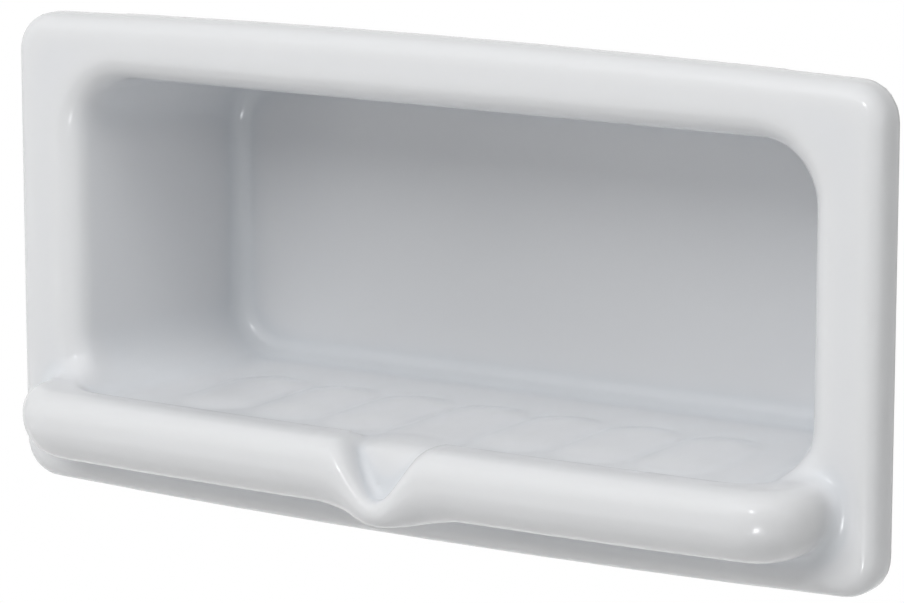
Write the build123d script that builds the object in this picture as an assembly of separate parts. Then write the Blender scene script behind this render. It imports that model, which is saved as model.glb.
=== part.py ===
from build123d import *
import os
from math import acos, cos, degrees, pi, radians, sqrt, tan

# A recessed soap dish cast as one piece of vitreous china.
# X runs to the right, Y into the wall, Z up. The origin is the middle of the flange on the wall plane,
# so the flange and the lip stand in front of y = 0 and the tub goes into the wall behind it.

# Flange: the frame that laps over the tiles, with crowned long edges
flange_width = 200.0
flange_height = 101.0
flange_crown = 1.7
flange_depth = 8.0
flange_corner_radius = 8.0
flange_edge_round = 4.0
side_member = 14.7
top_member = 13.5
bottom_member = 23.6

# Recess: the drafted box that holds the soap, measured at the flange's front face
recess_depth = 43.0
side_draft = 7.0
ceiling_draft = 5.0
recess_corner_radius = 12.0
recess_back_round = 4.5
mouth_round = 6.0

# Tub: the wall of china round the recess, bedded in mortar
tub_wall = 8.0
tub_back_round = 9.0
key_groove_radius = 3.0
key_groove_depth = 1.5
key_groove_places = (15.0, 32.0)

# Lip: the bullnose roll along the bottom of the mouth, bowed a little like the flange's edge
lip_reach = 26.5
lip_thickness = 14.8
lip_end_margin = 8.4
lip_end_round = 13.0
lip_bow = 1.1
lip_upper_round = 5.2
lip_lower_round = 8.6
lip_top_flat = 3.2
lip_inner_round = 7.0
lip_root_round = 3.5
lip_step = 2.1

# Spout: the dip in the middle of the lip that drains the dish, with the roll carried round under it
spout_half_width = 15.5
notch_half_width = 11.5
spout_depth = 11.5
spout_bulge = 2.2
spout_pull = 3.0
spout_ramp = 1.5
spout_sections = 17
spout_bed = 3.0
spout_back = 8.0

# Tongue: the middle rib of the floor, which narrows and falls over the dip of the lip
tongue_tip_half_width = 3.2
tongue_tip_gap = 4.5
tongue_tip_sink = 0.6
tongue_lead = 3.5
tongue_steepness = 7
tongue_base = 1.0
tongue_sections = 10

# Flutes: low rounded ribs side by side on the floor that keep the soap out of the water
flute_pitch = 17.9
flute_height = 1.0
flute_front = -8.5
flute_back = 25.0
flutes_each_side = 3
flute_lap = 0.5
flute_seat = 0.5

face_y = -flange_depth
recess_ceiling = flange_height / 2 - top_member
lip_top = bottom_member - flange_height / 2
lip_bottom = lip_top - lip_thickness
lip_axis_z = lip_top - lip_thickness / 2
lip_half_length = flange_width / 2 - lip_end_margin
recess_width = flange_width - 2 * side_member
recess_floor = lip_top - lip_step
inner_rounds = lip_inner_round + mouth_round
inner_span = sqrt(inner_rounds**2 - (inner_rounds - lip_step) ** 2)
roll_y = -lip_reach + lip_upper_round + lip_top_flat
floor_front_y = roll_y + inner_span
flute_half = flute_pitch / 2 + flute_lap
flute_radius = (flute_half**2 + flute_height**2) / (2 * flute_height)
seat_half = sqrt(flute_radius**2 - (flute_radius - flute_height - flute_seat) ** 2)
tongue_start_y = floor_front_y + tongue_lead
tongue_crown = recess_floor + flute_height


def flange_plate():
    """The crowned frame before its opening is cut, with its front edge rounded."""
    side = flange_width / 2
    middle = flange_height / 2
    corner = middle - flange_crown
    outline = Wire(
        [
            ThreePointArc((-side, corner), (0, middle), (side, corner)),
            Line((side, corner), (side, -corner)),
            ThreePointArc((side, -corner), (0, -middle), (-side, -corner)),
            Line((-side, -corner), (-side, corner)),
        ]
    )
    face = make_face(outline)
    face = fillet(face.vertices(), flange_corner_radius)
    plate = extrude(Plane.XZ * face, amount=flange_depth)
    front = plate.faces().sort_by(Axis.Y)[0]
    return fillet(front.edges(), flange_edge_round)


def drafted_box(front_y, back_y, wall, corner_radius, back_round):
    """A box that narrows into the wall, a wall thickness outside the recess, with its edges rounded."""

    def half_width(y):
        return recess_width / 2 + wall - (y - face_y) * tan(radians(side_draft))

    def height(y):
        return recess_ceiling - recess_floor + 2 * wall - (y - face_y) * tan(radians(ceiling_draft))

    front_half = half_width(front_y)
    back_half = half_width(back_y)
    corner = (Align.MIN, Align.MIN, Align.MIN)
    box = Wedge(
        2 * front_half,
        back_y - front_y,
        height(front_y),
        front_half - back_half,
        0,
        front_half + back_half,
        height(back_y),
        align=corner,
    )
    box = Pos(-front_half, front_y, recess_floor - wall) * box
    ends = box.faces().sort_by(Axis.Y)
    box = fillet(box.edges() - ends[0].edges() - ends[-1].edges(), corner_radius)
    back = box.faces().sort_by(Axis.Y)[-1]
    return fillet(back.edges(), back_round)


def bowed_line(height):
    """The lip's top or bottom line seen from the front: level over the spout, rising to the ends."""
    flat = spout_half_width
    end = flange_width / 2
    return [
        TangentArc((-flat, height), (-end, height + lip_bow), tangent=(-1, 0)),
        Line((-flat, height), (flat, height)),
        TangentArc((flat, height), (end, height + lip_bow), tangent=(1, 0)),
    ]


def nose_edges(bar, above):
    """The upper or lower edges of the lip's front, rounded corners and sides."""
    sides = bar.faces().filter_by(lambda face: abs(face.normal_at().Z) < 0.1 and face.normal_at().Y < 0.5)
    level = ShapeList(edge for face in sides for edge in face.edges())
    level = level.filter_by(lambda edge: edge.bounding_box().size.Z < lip_bow)
    return level.filter_by(lambda edge: (edge.center().Z > lip_axis_z + lip_bow) == above)


def lip_bar():
    """The lip without its pocket and spout: a bowed band with rounded corners in plan and a round nose."""
    end = flange_width / 2
    left = Line((-end, lip_bottom + lip_bow), (-end, lip_top + lip_bow))
    right = Line((end, lip_bottom + lip_bow), (end, lip_top + lip_bow))
    band_face = make_face(Wire([*bowed_line(lip_top), *bowed_line(lip_bottom), left, right]))
    band = extrude(Plane.XZ * band_face, amount=lip_reach)
    plan = Pos(0, -lip_reach / 2) * Rectangle(2 * lip_half_length, lip_reach)
    plan = fillet(plan.vertices().group_by(Axis.Y)[0], lip_end_round)
    bar = band & extrude(Pos(0, 0, lip_axis_z) * plan, amount=lip_thickness, both=True)

    bar = fillet(nose_edges(bar, above=True), lip_upper_round)
    return fillet(nose_edges(bar, above=False), lip_lower_round)


def lip_root_edges(body):
    """The line where the lip leaves the flange's flat front face."""

    def on_root(edge):
        box = edge.bounding_box()
        on_face = abs(box.min.Y - face_y) < 0.01 and abs(box.max.Y - face_y) < 0.01
        at_height = box.min.Z > lip_bottom - 1 and box.max.Z < lip_top + lip_bow + 1
        return on_face and at_height and abs(edge.center().X) < lip_half_length + 1

    return body.edges().filter_by(on_root)


def mouth_edges(body, recess):
    """The rim of the recess: round the frame, over the lip's root and along the lip's inner edge."""
    inside = recess.shell()

    def on_rim(edge):
        box = edge.bounding_box()
        in_front = box.max.Y < face_y + 0.01 and box.min.Z > lip_top - 0.01
        return in_front and inside.distance_to(edge @ 0.5) < 0.01

    return body.edges().filter_by(on_rim)


def spout_room(root_y):
    """The part of the lip and of the floor behind it that the spout takes the place of."""
    ahead = -lip_reach - 1
    above = lip_top + 1
    below = lip_bottom - spout_bulge - 1
    section = Polyline(
        (ahead, below),
        (root_y, below),
        (root_y, lip_top - spout_depth - spout_bed / 2),
        (spout_back, recess_floor - spout_bed),
        (spout_back, above),
        (ahead, above),
        close=True,
    )
    face = Plane.YZ.offset(-spout_half_width) * make_face(section)
    return extrude(face, amount=2 * spout_half_width)


def eased(distance, span):
    """One at no distance, falling smoothly to nothing over the span."""
    return (1 + cos(pi * min(max(distance / span, 0), 1))) / 2


def level_curve(start, end):
    """A soft curve between two points of a section that leaves and arrives level."""
    middle = (start[0] + end[0]) / 2
    return Bezier(start, (middle, start[1]), (middle, end[1]), end)


def spout_section(x, root_y):
    """The closed section of floor and lip at x, with the lip's crest dipped across the spout."""
    dip = eased(abs(x), notch_half_width)
    top = lip_top - spout_depth * dip
    bottom = lip_bottom - spout_bulge * cos(pi * x / spout_half_width / 2)
    share = (top - bottom) / lip_thickness
    upper = lip_upper_round * share
    lower = lip_lower_round * share
    upper_y = upper - lip_reach
    lower_y = lower - lip_reach
    ramp_y = floor_front_y + spout_ramp * dip
    crest_y = roll_y - spout_pull * dip
    turn_share = lip_inner_round / inner_rounds
    turn_y = ramp_y + turn_share * (crest_y - ramp_y)
    turn = (turn_y, recess_floor + turn_share * (top - recess_floor))
    bed_front = (root_y, lip_top - spout_depth - spout_bed / 2)
    bed_back = (spout_back, recess_floor - spout_bed)
    section = [
        Line((spout_back, recess_floor), (ramp_y, recess_floor)),
        TangentArc((ramp_y, recess_floor), turn, tangent=(-1, 0)),
        TangentArc((crest_y, top), turn, tangent=(1, 0)),
        Line((crest_y, top), (upper_y, top)),
        TangentArc((upper_y, top), (-lip_reach, top - upper), tangent=(-1, 0)),
        Line((-lip_reach, top - upper), (-lip_reach, bottom + lower)),
        TangentArc((-lip_reach, bottom + lower), (lower_y, bottom), tangent=(0, -1)),
        level_curve((lower_y, bottom), (root_y, lip_bottom)),
        Line((root_y, lip_bottom), bed_front),
        Line(bed_front, bed_back),
        Line(bed_back, (spout_back, recess_floor)),
    ]
    return Plane.YZ.offset(x) * make_face(Wire(section))


def spout(root_y):
    """The dipped middle of the lip and the floor behind it, lofted from side to side."""
    step_x = 2 * spout_half_width / (spout_sections - 1)
    places = [step_x * i - spout_half_width for i in range(spout_sections)]
    return loft([spout_section(x, root_y) for x in places])


def rib_end(section, y, crown, outward):
    """The end of a rib: its section turned down about the middle of its arc until it is under the floor."""
    turn = degrees(acos(1 - (flute_height + flute_seat) / flute_radius))
    return revolve(section, Axis((0, y, crown - flute_radius), (-outward, 0, 0)), turn)


def flute(x):
    """One rib of the floor: a shallow arc in section, with both ends bowed down into the floor."""
    arc = ThreePointArc((-seat_half, -flute_seat), (0, flute_height), (seat_half, -flute_seat))
    face = make_face(Wire([arc, Line((-seat_half, -flute_seat), (seat_half, -flute_seat))]))
    front_y = flute_front + flute_half
    back_y = flute_back - flute_half
    front = Plane.XZ.offset(-front_y) * face
    back = Plane.XZ.offset(-back_y) * face
    rib = extrude(back, amount=back_y - front_y)
    rib = rib + rib_end(front, front_y, flute_height, -1) + rib_end(back, back_y, flute_height, 1)
    return Pos(x, 0, recess_floor) * rib


def tongue_section(share):
    """The tongue's section at a share of its way from the floor to its tip."""
    fall = share**tongue_steepness
    tip_y = tongue_tip_gap - lip_reach
    tip_z = lip_top - spout_depth - tongue_tip_sink
    top = tongue_crown - (tongue_crown - tip_z) * fall
    half = seat_half - (seat_half - tongue_tip_half_width) * fall
    side = top - flute_height - flute_seat
    low = side - tongue_base
    arc = ThreePointArc((-half, side), (0, top), (half, side))
    base = Polyline((half, side), (half, low), (-half, low), (-half, side))
    y = tongue_start_y + (tip_y - tongue_start_y) * share
    return Plane.XZ.offset(-y) * make_face(Wire([arc, *base.edges()]))


def tongue():
    """The middle rib: level along the floor, then narrowing as it falls into the spout."""
    steps = [i / (tongue_sections - 1) for i in range(tongue_sections)]
    sections = [tongue_section(1 - (1 - step) ** 2) for step in steps]
    back_y = flute_back - flute_half
    back = Pos(0, back_y - tongue_start_y, 0) * sections[0]
    rib = extrude(back, amount=back_y - tongue_start_y, dir=(0, -1, 0))
    return rib + loft(sections) + rib_end(back, back_y, tongue_crown, 1)


def key_grooves():
    """Shallow grooves over the tub's top and under its floor that key it into the mortar."""
    length = recess_width + 4 * tub_wall
    bar = Rot(0, 90, 0) * Cylinder(key_groove_radius, length)
    offset = key_groove_radius - key_groove_depth
    grooves = []
    for y in key_groove_places:
        roof = recess_ceiling + tub_wall - (y - face_y) * tan(radians(ceiling_draft))
        grooves.append(Pos(0, y, roof + offset) * bar)
        grooves.append(Pos(0, y, recess_floor - tub_wall - offset) * bar)
    return grooves


def soap_dish_body():
    tub_back = recess_depth + tub_wall
    tub_corner = recess_corner_radius + tub_wall / 2
    tub = drafted_box(-flange_depth / 2, tub_back, tub_wall, tub_corner, tub_back_round)
    for groove in key_grooves():
        tub = tub - groove
    body = flange_plate() + tub + lip_bar()
    body = fillet(lip_root_edges(body), lip_root_round)
    pocket_y = floor_front_y - lip_inner_round
    recess = drafted_box(pocket_y, recess_depth, 0, recess_corner_radius, recess_back_round)
    recess = fillet(recess.faces().sort_by(Axis.Y)[0].edges(), lip_inner_round)
    body = body - recess
    body = fillet(mouth_edges(body, recess), mouth_round)
    root_y = face_y - lip_root_round - 1
    body = body - spout_room(root_y) + spout(root_y)
    for count in range(1, flutes_each_side + 1):
        body = body + flute(count * flute_pitch) + flute(-count * flute_pitch)
    return body + tongue()


os.makedirs("parts", exist_ok=True)
export_step(soap_dish_body(), "parts/soap_dish_body.step")
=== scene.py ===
import bmesh
import bpy
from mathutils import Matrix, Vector


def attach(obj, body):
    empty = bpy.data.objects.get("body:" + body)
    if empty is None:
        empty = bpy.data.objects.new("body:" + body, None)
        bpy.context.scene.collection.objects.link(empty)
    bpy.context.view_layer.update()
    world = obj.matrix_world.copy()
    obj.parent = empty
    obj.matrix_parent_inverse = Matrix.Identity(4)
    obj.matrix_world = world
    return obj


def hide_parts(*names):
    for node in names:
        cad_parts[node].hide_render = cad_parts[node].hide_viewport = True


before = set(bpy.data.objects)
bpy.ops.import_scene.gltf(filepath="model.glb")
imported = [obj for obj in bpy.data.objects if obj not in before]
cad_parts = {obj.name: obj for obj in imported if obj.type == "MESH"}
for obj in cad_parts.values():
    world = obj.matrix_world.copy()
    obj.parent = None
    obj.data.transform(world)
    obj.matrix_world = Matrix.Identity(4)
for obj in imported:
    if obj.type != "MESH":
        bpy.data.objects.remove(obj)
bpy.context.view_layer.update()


# The dish is one hollow casting of vitreous china: flange, lip, spout, fluted floor and tub in one.
# It is dipped in opaque white glaze, which fills the hollows and thins over the edges, and fired.
# The flange's back and the tub's outside stay bare clay, because mortar holds them in the wall.
class Socket:
    """One socket of a node tree, so that sums of values are written as Python."""

    def __init__(self, tree, socket=None):
        self.tree = tree
        self.socket = socket

    def node(self, kind, settings=None, values=None, output=0):
        """A new node in the same tree: its settings first, then the values or links of its sockets."""
        made = self.tree.nodes.new(kind)
        for name, setting in (settings or {}).items():
            setattr(made, name, setting)
        for name, value in (values or {}).items():
            if isinstance(value, Socket):
                self.tree.links.new(value.socket, made.inputs[name])
            else:
                made.inputs[name].default_value = value
        return Socket(self.tree, made.outputs[output] if made.outputs else None)

    def arithmetic(self, operation, first, second):
        return self.node("ShaderNodeMath", {"operation": operation}, {0: first, 1: second})

    def __add__(self, other):
        return self.arithmetic("ADD", self, other)

    def __radd__(self, other):
        return self.arithmetic("ADD", other, self)

    def __sub__(self, other):
        return self.arithmetic("SUBTRACT", self, other)

    def __rsub__(self, other):
        return self.arithmetic("SUBTRACT", other, self)

    def __mul__(self, other):
        return self.arithmetic("MULTIPLY", self, other)

    def __rmul__(self, other):
        return self.arithmetic("MULTIPLY", other, self)

    def at_least(self, other):
        return self.arithmetic("MAXIMUM", self, other)

    def at_most(self, other):
        return self.arithmetic("MINIMUM", self, other)

    def above(self, other):
        return self.arithmetic("GREATER_THAN", self, other)

    def between(self, low, high):
        """Nothing up to the low value, one from the high value on, and a smooth rise in between."""
        limits = {"Value": self, "From Min": low, "From Max": high}
        return self.node("ShaderNodeMapRange", {"interpolation_type": "SMOOTHSTEP"}, limits)


glaze = bpy.data.materials.new("white_glaze")
glaze.use_nodes = True
china = glaze.node_tree.nodes["Principled BSDF"]
china.inputs["IOR"].default_value = 1.52
paint = Socket(glaze.node_tree)
place = paint.node("ShaderNodeTexCoord", output="Object")
# The hollow mark darkens the glaze in hollows, corners and creases: partly pooled glaze, partly painted
# shade.
pool_and_shade_depth = paint.node("ShaderNodeAttribute", {"attribute_name": "hollow"}, output="Fac")
outside = paint.node("ShaderNodeAttribute", {"attribute_name": "bare"}, output="Fac")


def mottle(scale, detail):
    """Chance light and dark patches over the surface, smaller as the scale goes up."""
    return paint.node("ShaderNodeTexNoise", values={"Vector": place, "Scale": scale, "Detail": detail})


# A Mix node numbers its sockets for two colours and for the colour that it gives like this.
first_colour = 6
second_colour = 7
mixed_colour = 2


def blended(factor, first, second):
    """One colour turning into another, as paint on the surface."""
    colours = {"Factor": factor, first_colour: first, second_colour: second}
    return paint.node("ShaderNodeMix", {"data_type": "RGBA"}, colours, mixed_colour)


cloud = mottle(scale=70.0, detail=3.0)
grain = mottle(scale=900.0, detail=4.0)
ripple = mottle(scale=110.0, detail=1.0)
wander = mottle(scale=45.0, detail=2.0)

# The glaze's colour follows the dip of the surface in millimetres, a little unevenly: a little lighter over
# edges where it runs thin, and darker and bluer in hollows, partly as glaze pooled thick and partly as
# painted shade.
thin = (0.748, 0.756, 0.768, 1)
full = (0.728, 0.738, 0.756, 1)
# Darker and bluer in hollows: glaze pooled thick there, and painted shade in the recess's corners and
# creases.
thick_and_shaded = (0.680, 0.702, 0.730, 1)
edge_dip = -0.7
hollow_dip = 0.9
dip_unevenness = 0.3
dip_and_shade = pool_and_shade_depth + cloud * dip_unevenness - dip_unevenness / 2
coat_and_shade_tone = blended(dip_and_shade.between(edge_dip, 0.0), thin, full)
coat_and_shade_tone = blended(dip_and_shade.between(0.0, hollow_dip), coat_and_shade_tone, thick_and_shaded)

# The clay is speckled. The glaze ends just short of the flange's back, on a line that wanders (millimetres).
clay_pale = (0.760, 0.722, 0.665, 1)
clay_dark = (0.665, 0.615, 0.550, 1)
coarse_share = 0.6
pale_speckle = 0.35
dark_speckle = 0.68
speckle = cloud * coarse_share + grain * (1 - coarse_share)
clay_tone = blended(speckle.between(pale_speckle, dark_speckle), clay_pale, clay_dark)
edge_wander = 0.8
glaze_end = -0.45
clay_start = -0.05
wandering = outside + wander * edge_wander - edge_wander / 2
bare = wandering.between(glaze_end, clay_start)
tone = blended(bare, coat_and_shade_tone, clay_tone)

gloss_least = 0.18
gloss_spread = 0.05
dull_least = 0.62
dull_spread = 0.2
clay_relief = 0.4
gloss = cloud * gloss_spread + gloss_least
dull = grain * dull_spread + dull_least
roughness = gloss + bare * (dull - gloss)
height = ripple * (1 - bare) + grain * bare * clay_relief
relief = paint.node("ShaderNodeBump", values={"Strength": 0.12, "Distance": 0.0004, "Height": height})
for name, value in {"Base Color": tone, "Roughness": roughness, "Normal": relief}.items():
    glaze.node_tree.links.new(value.socket, china.inputs[name])

# The mould is the solid's own surface, and the blank is the mesh that the coat turns into the dish.
seam_gap = 0.000002
mesh_spacing = 0.0011
casting = bpy.data.meshes.new("casting")
merged = bmesh.new()
merged.from_mesh(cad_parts["soap_dish_body"].data)
bmesh.ops.remove_doubles(merged, verts=merged.verts, dist=seam_gap)
merged.to_mesh(casting)
merged.free()
mould = bpy.data.objects.new("mould", casting)
blank = bpy.data.objects.new("blank", casting.copy())
for made in (mould, blank):
    bpy.context.collection.objects.link(made)
even = blank.modifiers.new("even_mesh", "REMESH")
even.mode = "VOXEL"
even.voxel_size = mesh_spacing

coat = bpy.data.node_groups.new("glaze_coat", "GeometryNodeTree")
coat.interface.new_socket("Geometry", in_out="INPUT", socket_type="NodeSocketGeometry")
coat.interface.new_socket("Geometry", in_out="OUTPUT", socket_type="NodeSocketGeometry")
coat_sizes = {
    "Clay": ("NodeSocketObject", mould),
    "Softening passes": ("NodeSocketInt", 2),
    "Hollow fill": ("NodeSocketFloat", 0.15),
    "Edge thinning": ("NodeSocketFloat", 0.4),
    "Pooling passes": ("NodeSocketInt", 40),
    "Tub middle": ("NodeSocketVector", (0.0, -0.03, 0.0)),
    "Glaze": ("NodeSocketMaterial", glaze),
}
coat_inputs = {}
for name, (kind, size) in coat_sizes.items():
    made = coat.interface.new_socket(name, in_out="INPUT", socket_type=kind)
    coat_inputs[made.identifier] = size
shape = Socket(coat)
spot = shape.node("GeometryNodeInputPosition")
facing = shape.node("GeometryNodeInputNormal")


def given(name):
    """One of the coat's own named inputs."""
    return shape.node("NodeGroupInput", output=name)


def across(operation, first, second, output=0):
    """Vector arithmetic on places and directions."""
    return shape.node("ShaderNodeVectorMath", {"operation": operation}, {0: first, 1: second}, output)


def spread(value, passes):
    """A place or direction evened out with those around it."""
    sockets = {"Value": value, "Iterations": passes}
    return shape.node("GeometryNodeBlurAttribute", {"data_type": "FLOAT_VECTOR"}, sockets)


def sag(passes):
    """How deep the surface lies in its surroundings, in metres: less than nothing on an edge."""
    return across("DOT_PRODUCT", across("SUBTRACT", spread(spot, passes), spot), facing, "Value")


clay = shape.node("GeometryNodeObjectInfo", values={"Object": given("Clay")}, output="Geometry")
nearest = shape.node("GeometryNodeProximity", values={"Geometry": clay}, output="Position")
solid = shape.node("GeometryNodeSetPosition", values={"Geometry": given("Geometry"), "Position": nearest})
dip = sag(given("Softening passes"))
depth = dip.at_least(0) * given("Hollow fill") + dip.at_most(0) * given("Edge thinning")
flow = shape.node("ShaderNodeVectorMath", {"operation": "SCALE"}, {"Vector": facing, "Scale": depth})
solid = shape.node("GeometryNodeSetPosition", values={"Geometry": solid, "Offset": flow})

# The marks for the glaze are in millimetres; the hollow mark also sets the painted shade in hollows, corners
# and creases. What faces the tub's middle is marked far from the bare clay.
millimetres = 1000
inside_mark = -10
behind = shape.node("ShaderNodeSeparateXYZ", values={"Vector": spot}, output="Y") * millimetres
outward = across("SUBTRACT", spot, given("Tub middle"))
outer = across("DOT_PRODUCT", outward, spread(facing, given("Pooling passes")), "Value").above(0)
marks = {
    "hollow": sag(given("Pooling passes")) * millimetres,
    "bare": behind * outer + (1 - outer) * inside_mark,
}
each_point = {"data_type": "FLOAT", "domain": "POINT"}
for name, value in marks.items():
    sockets = {"Geometry": solid, "Name": name, "Value": value}
    solid = shape.node("GeometryNodeStoreNamedAttribute", each_point, sockets)
solid = shape.node("GeometryNodeSetShadeSmooth", values={"Geometry": solid})
solid = shape.node("GeometryNodeRealizeInstances", values={"Geometry": solid})
solid = shape.node("GeometryNodeSetMaterial", values={"Geometry": solid, "Material": given("Glaze")})
shape.node("NodeGroupOutput", values={"Geometry": solid})

dipped = blank.modifiers.new("glaze_coat", "NODES")
dipped.node_group = coat
for identifier, size in coat_inputs.items():
    dipped[identifier] = size
graph = bpy.context.evaluated_depsgraph_get()
glazed_mesh = bpy.data.meshes.new_from_object(blank.evaluated_get(graph))
for spent in (blank, mould):
    bpy.data.objects.remove(spent)
dish = bpy.data.objects.new("glazed_dish", glazed_mesh)
bpy.context.collection.objects.link(dish)
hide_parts("soap_dish_body")
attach(dish, "root")


# The floor is a sheet of white paper well below the dish, which hangs in its wall and never rests on it.
# It glows for the camera and in the gloss, less near the dish than far off, so that it keeps the shadow.
# From below it is clear, so that the underside of the dish can be looked at.
def seen_directly(tree):
    """One for what the camera sees, straight or in a gloss or through glass."""
    rays = Socket(tree)
    seen = rays.node("ShaderNodeLightPath", output="Is Camera Ray")
    for name in ("Is Glossy Ray", "Is Transmission Ray"):
        seen = seen.at_least(rays.node("ShaderNodeLightPath", output=name))
    return seen


def plain_sheet(name, corners, faces):
    """A flat sheet of the stage."""
    mesh = bpy.data.meshes.new(name)
    mesh.from_pydata(corners, [], faces)
    made = bpy.data.objects.new(name, mesh)
    bpy.context.collection.objects.link(made)
    return made


def four_corners(left, low, right, high):
    """The corners of a rectangle, from the lower left one round by the lower right one."""
    return [(left, low), (right, low), (right, high), (left, high)]


sheet_reach = 4
floor_level = -0.25
floor_edge = four_corners(-sheet_reach, -sheet_reach, sheet_reach, sheet_reach)
floor = plain_sheet("floor", [(x, y, floor_level) for x, y in floor_edge], [(0, 1, 2, 3)])
paper = bpy.data.materials.new("white_paper")
paper.use_nodes = True
paper.node_tree.nodes.clear()
sheet = Socket(paper.node_tree)
matt = sheet.node("ShaderNodeBsdfDiffuse", values={"Color": (0.85, 0.85, 0.85, 1)})
spot_on_floor = sheet.node("ShaderNodeTexCoord", output="Object")
distance = sheet.node("ShaderNodeVectorMath", {"operation": "LENGTH"}, {0: spot_on_floor}, "Value")
shadow_reach = 0.5
glow_start = 2.0
far_off = distance.between(shadow_reach, glow_start)
near_glow = sheet.node("ShaderNodeEmission", values={"Strength": 0.40})
far_glow = sheet.node("ShaderNodeEmission", values={"Strength": 0.85})
glow = sheet.node("ShaderNodeMixShader", values={0: far_off, 1: near_glow, 2: far_glow})
bright = sheet.node("ShaderNodeMixShader", values={0: seen_directly(paper.node_tree), 2: glow})
upper_side = sheet.node("ShaderNodeAddShader", values={0: matt, 1: bright})
under_side = sheet.node("ShaderNodeBsdfTransparent")
below = sheet.node("ShaderNodeNewGeometry", output="Backfacing")
sides = sheet.node("ShaderNodeMixShader", values={0: below, 1: upper_side, 2: under_side})
sheet.node("ShaderNodeOutputMaterial", values={"Surface": sides})
floor.data.materials.append(paper)

# The wall is the white backdrop with the opening that the tub goes into, level with the back of the flange.
# It only shows from the room's side, so that the tub can be looked at from behind.
# It is clear to the light of the lamps and throws no shadow.
wall_place = 0.0002
opening_half_width = 0.0965
opening_half_height = 0.047
wall_edge = four_corners(-sheet_reach, floor_level, sheet_reach, sheet_reach)
opening = four_corners(-opening_half_width, -opening_half_height, opening_half_width, opening_half_height)
wall_corners = [(x, wall_place, z) for x, z in wall_edge + opening]
wall_faces = [(i, (i + 1) % 4, (i + 1) % 4 + 4, i + 4) for i in range(4)]
wall = plain_sheet("wall", wall_corners, wall_faces)
plaster = bpy.data.materials.new("white_wall")
plaster.use_nodes = True
plaster.node_tree.nodes.clear()
screen = Socket(plaster.node_tree)
front = 1 - screen.node("ShaderNodeNewGeometry", output="Backfacing")
clear = screen.node("ShaderNodeBsdfTransparent")
white = screen.node("ShaderNodeEmission")
seen_front = front * seen_directly(plaster.node_tree)
shown = screen.node("ShaderNodeMixShader", values={0: seen_front, 1: clear, 2: white})
screen.node("ShaderNodeOutputMaterial", values={"Surface": shown})
wall.data.materials.append(plaster)

# The studio is a white tent round the dish, its wall and the floor.
# It gives a little even light from all round, and is white wherever it is seen.
studio = bpy.data.worlds.new("studio")
bpy.context.scene.world = studio
studio.use_nodes = True
studio.node_tree.nodes.clear()
tent = Socket(studio.node_tree)
even_light = 0.15
strength = seen_directly(studio.node_tree) * (1 - even_light) + even_light
sky = tent.node("ShaderNodeBackground", values={"Color": (1, 1, 1, 1), "Strength": strength})
tent.node("ShaderNodeOutputWorld", values={"Surface": sky})


# The lamps are square soft boxes: a large one high in front, and smaller ones high right, left and right.
# Two small ones light nothing and are only mirrored in the gloss, as sparks.
# None of them is seen by the camera.
def soft_box(name, place, size, power, in_gloss=False):
    """A square soft box aimed at the dish: it lights the surface, or else is only mirrored in the gloss."""
    light = bpy.data.lights.new(name, "AREA")
    light.size = size
    light.energy = power
    made = bpy.data.objects.new(name, light)
    made.location = place
    made.rotation_euler = (-Vector(place)).to_track_quat("-Z", "Y").to_euler()
    made.visible_camera = False
    made.visible_glossy = in_gloss
    made.visible_diffuse = not in_gloss
    bpy.context.collection.objects.link(made)


soft_box("key", place=(-0.08, -0.82, 0.76), size=0.8, power=8.8)
soft_box("top", place=(0.48, -0.40, 0.88), size=0.4, power=2.2)
soft_box("left", place=(-1.02, -0.40, 0.02), size=0.4, power=2.0)
soft_box("right", place=(1.08, -0.18, 0.10), size=0.3, power=1.0)
soft_box("spark", place=(0.30, -0.95, 0.60), size=0.10, power=1.2, in_gloss=True)
soft_box("low_spark", place=(0.26, -0.42, -0.21), size=0.05, power=0.3, in_gloss=True)

# The camera stands to the right of the dish and a little above it, as in the photograph.
# Its place and its long lens were fitted to the outline of the flange.
lens = bpy.data.cameras.new("camera")
lens.sensor_width = 36
lens.lens = 170.1
camera = bpy.data.objects.new("camera", lens)
camera.location = (0.4435, -0.7017, 0.1608)
aim = Vector((0.002335, -0.0002, -0.002524))
camera.rotation_euler = (aim - camera.location).to_track_quat("-Z", "Y").to_euler()
bpy.context.collection.objects.link(camera)
bpy.context.scene.camera = camera
bpy.context.scene.view_settings.view_transform = "Standard"
